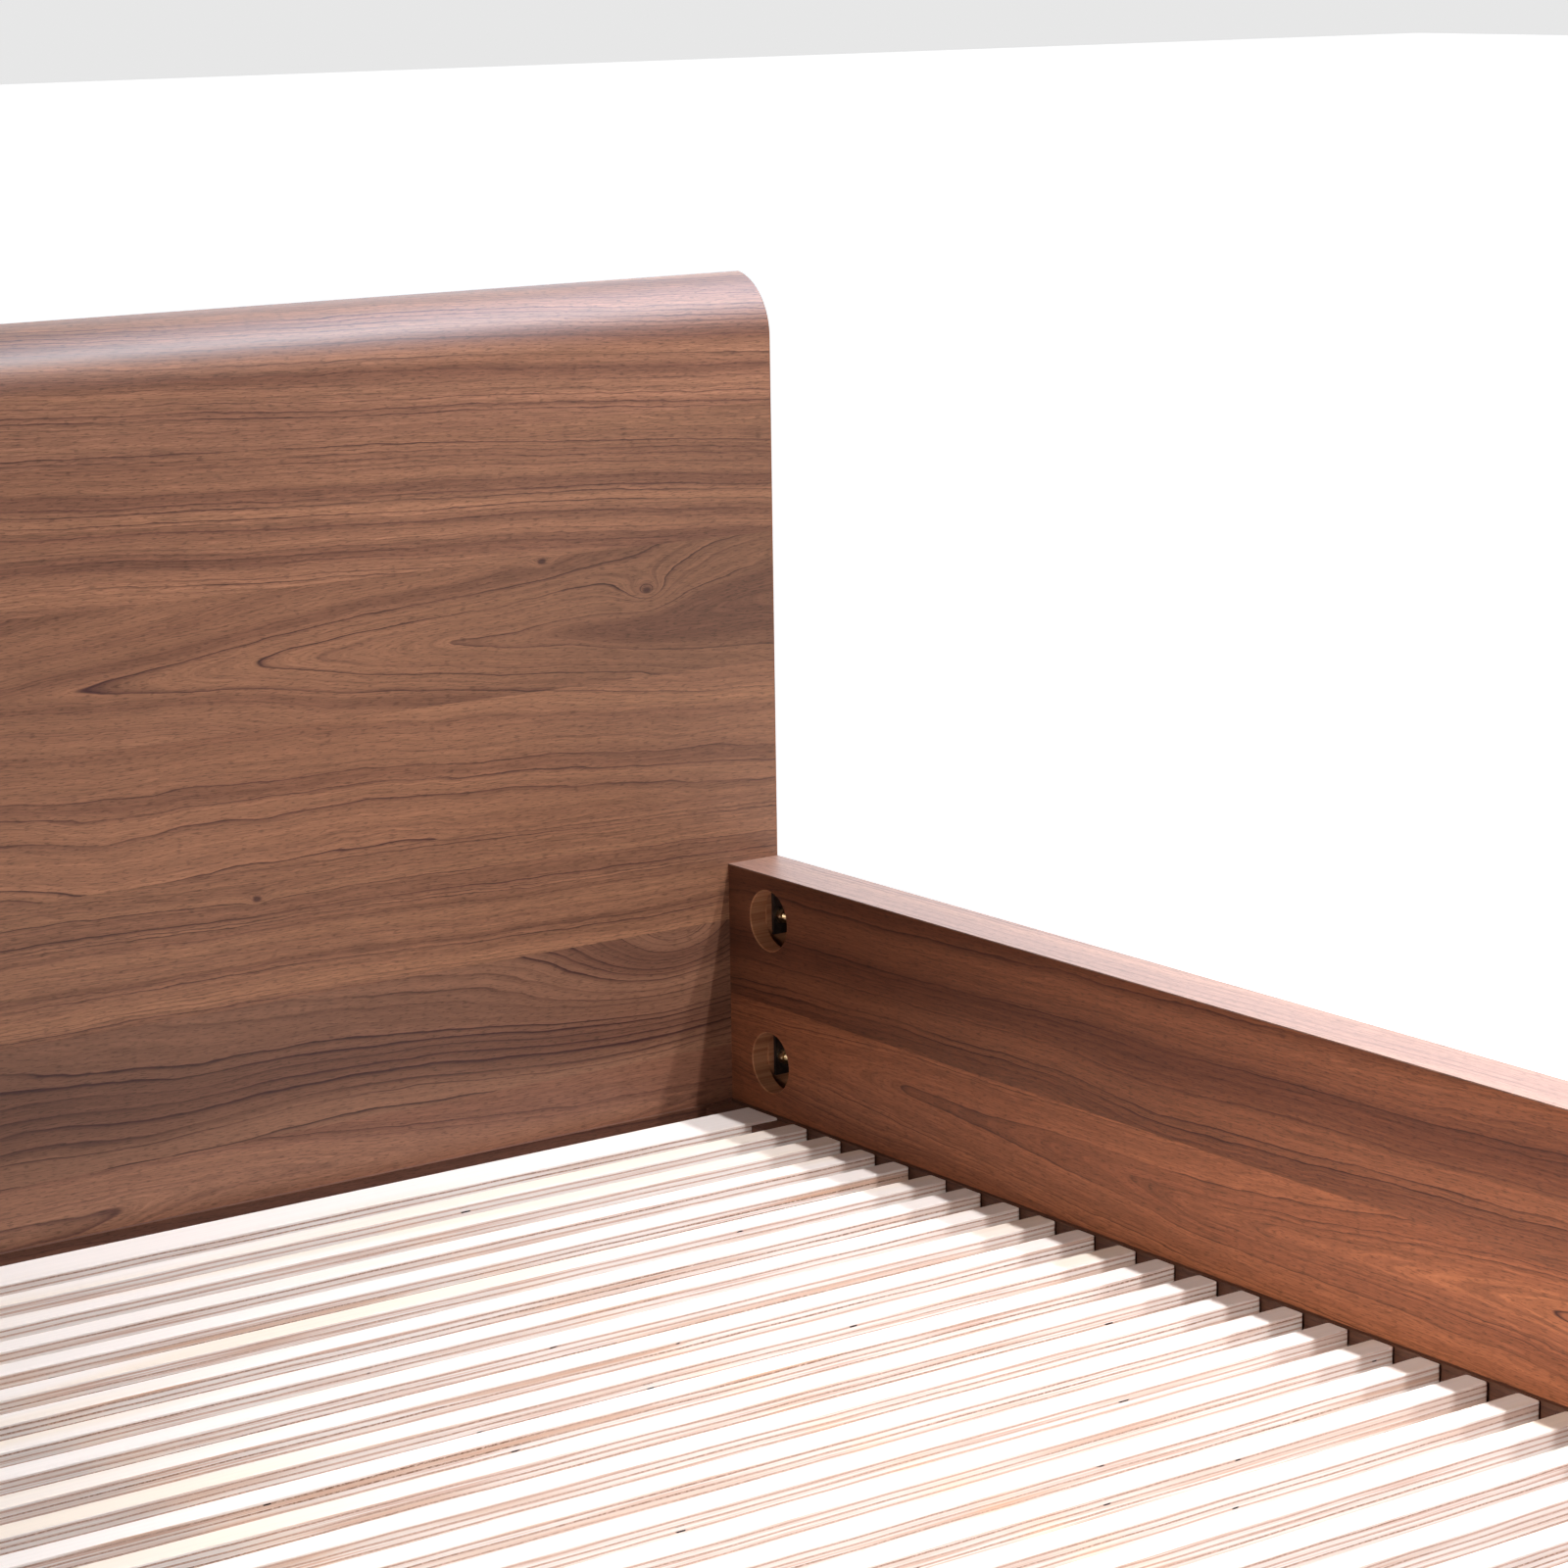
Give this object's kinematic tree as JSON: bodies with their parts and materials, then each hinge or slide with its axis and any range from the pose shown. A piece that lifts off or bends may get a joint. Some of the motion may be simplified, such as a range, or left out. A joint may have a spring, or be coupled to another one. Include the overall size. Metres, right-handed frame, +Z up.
{
  "type": "bed frame",
  "caption": "Sleigh bed frame in walnut veneer with rolled end panels, hollow rails, rabbeted ledgers, plywood slats and a centre beam on levelling legs.",
  "frame": {"origin": "on the floor, at the middle of the footprint", "axes": "+Z up, +Y towards the headboard, +X towards the right-hand rail seen from the foot"},
  "size_m": [1.65, 2.1456, 0.9],
  "materials": {
    "walnut_panel": "satin lacquered walnut veneer",
    "edge_veneer": "satin reddish walnut edge veneer",
    "walnut_rail": "satin lacquered walnut veneer",
    "walnut_band": "satin lacquered walnut veneer, lighter leaf",
    "core_timber": "sawn softwood and fibre board",
    "walnut_ledger": "satin walnut",
    "slat_ply": "sanded birch plywood",
    "beam_timber": "planed pale timber",
    "yellow_zinc": "yellow zinc plated steel",
    "brass": "turned brass",
    "dark_steel": "black phosphate",
    "bright_steel": "bright zinc",
    "glide_plastic": "moulded matt"
  },
  "bodies": {
    "bed_frame": {"headboard_panel": "walnut_panel", "footboard_panel": "walnut_panel", "headboard_edge_band_right": "edge_veneer", "headboard_edge_band_left": "edge_veneer", "footboard_edge_band_right": "edge_veneer", "footboard_edge_band_left": "edge_veneer", "right_rail_inner_skin": "walnut_rail", "right_rail_outer_skin": "walnut_rail", "left_rail_inner_skin": "walnut_rail", "left_rail_outer_skin": "walnut_rail", "right_rail_top_band": "walnut_band", "right_rail_bottom_band": "walnut_band", "left_rail_top_band": "walnut_band", "left_rail_bottom_band": "walnut_band", "right_rail_top_strip": "core_timber", "right_rail_bottom_strip": "core_timber", "right_rail_end_block_head": "core_timber", "right_rail_end_block_foot": "core_timber", "right_rail_core_ribs": "core_timber", "left_rail_top_strip": "core_timber", "left_rail_bottom_strip": "core_timber", "left_rail_end_block_head": "core_timber", "left_rail_end_block_foot": "core_timber", "left_rail_core_ribs": "core_timber", "rail_dowels": "core_timber", "side_ledger_right": "walnut_ledger", "side_ledger_left": "walnut_ledger", "head_ledger": "walnut_ledger", "foot_ledger": "walnut_ledger", "head_corner_blocks": "walnut_ledger", "foot_corner_blocks": "walnut_ledger", "wide_slat_head": "slat_ply", "wide_slat_foot": "slat_ply", "narrow_slats_1": "slat_ply", "narrow_slats_2": "slat_ply", "narrow_slats_3": "slat_ply", "slat_batten_right": "slat_ply", "slat_batten_left": "slat_ply", "centre_beam": "beam_timber", "centre_leg_head": "beam_timber", "centre_leg_foot": "beam_timber", "rail_bolts": "yellow_zinc", "rail_bolt_nuts": "yellow_zinc", "ledger_screws": "yellow_zinc", "corner_block_screws": "yellow_zinc", "hanger_screws": "yellow_zinc", "panel_inserts": "brass", "leveller_collets": "brass", "rail_bolt_plates": "dark_steel", "beam_hanger_head": "dark_steel", "beam_hanger_foot": "dark_steel", "leg_bolts": "bright_steel", "headboard_glides": "glide_plastic", "footboard_glides": "glide_plastic"},
    "head_leveller": {"leveller_pad_head": "glide_plastic", "leveller_stud_head": "bright_steel"},
    "foot_leveller": {"leveller_pad_foot": "glide_plastic", "leveller_stud_foot": "bright_steel"}
  },
  "joints": [
    {"name": "head_leveller_travel", "type": "slide", "parent": "bed_frame", "child": "head_leveller", "axis": [0, 0, 1], "range_m": [-0.012, 0.008]},
    {"name": "foot_leveller_travel", "type": "slide", "parent": "bed_frame", "child": "foot_leveller", "axis": [0, 0, 1], "range_m": [-0.012, 0.008]}
  ]
}
